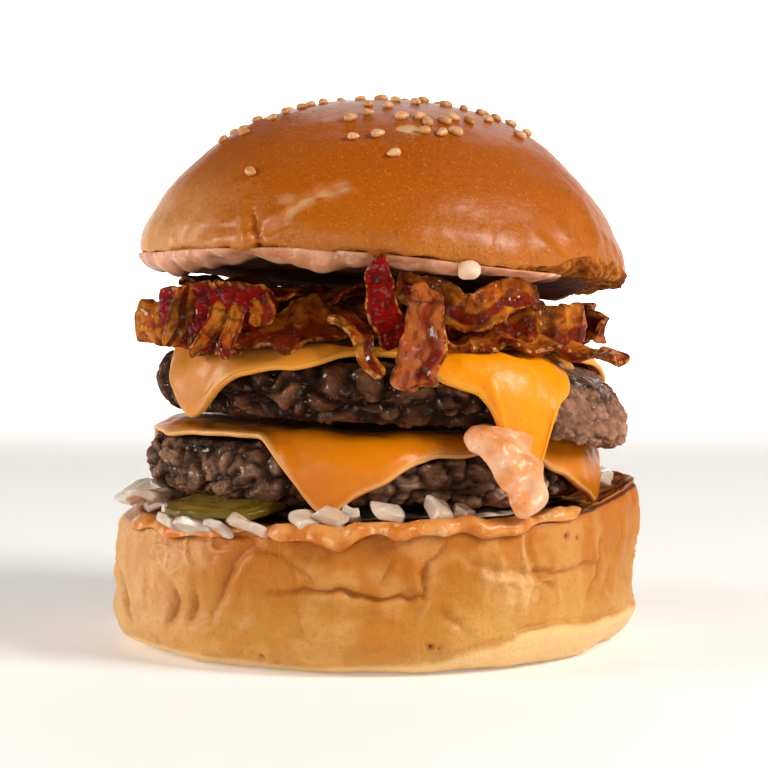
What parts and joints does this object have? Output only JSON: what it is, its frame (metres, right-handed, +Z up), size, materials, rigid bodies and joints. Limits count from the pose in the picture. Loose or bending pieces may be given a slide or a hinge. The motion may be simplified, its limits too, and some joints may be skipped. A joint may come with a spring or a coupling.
{
  "type": "double cheeseburger",
  "caption": "Seeded bun filled with beef patties, melted cheese slices, crisp bacon strips, sauce, diced onion and pickle.",
  "frame": {"origin": "middle of the bounding box on the table plane, under the bottom bun", "axes": "+Z up, +X to the right and -Y towards the viewer when the burger is seen from its front"},
  "size_m": [0.1117, 0.1123, 0.114],
  "materials": {
    "bun_crust": "satin",
    "bread": "satin",
    "beef": "satin",
    "cheese": "gloss",
    "bacon": "gloss",
    "sauce": "gloss",
    "onion": "gloss",
    "pickle": "gloss"
  },
  "bodies": {
    "root": {"bacon_back_left": "bacon", "bacon_back_low": "bacon", "bacon_back_right": "bacon", "bacon_diagonal": "bacon", "bacon_hanging": "bacon", "bacon_left_end": "bacon", "bacon_left_fold": "bacon", "bacon_left_low": "bacon", "bacon_left_shelf": "bacon", "bacon_middle": "bacon", "bacon_red": "bacon", "bacon_right_fold": "bacon", "bacon_right_low": "bacon", "bacon_right_vee": "bacon", "bun_bottom": "bread", "bun_top": "bun_crust", "cheese_lower": "cheese", "cheese_upper": "cheese", "onion": "onion", "patty_lower": "beef", "patty_upper": "beef", "pickle_1": "pickle", "pickle_2": "pickle", "sauce_bottom": "sauce", "sauce_run": "sauce", "sauce_top": "sauce"}
  },
  "joints": []
}
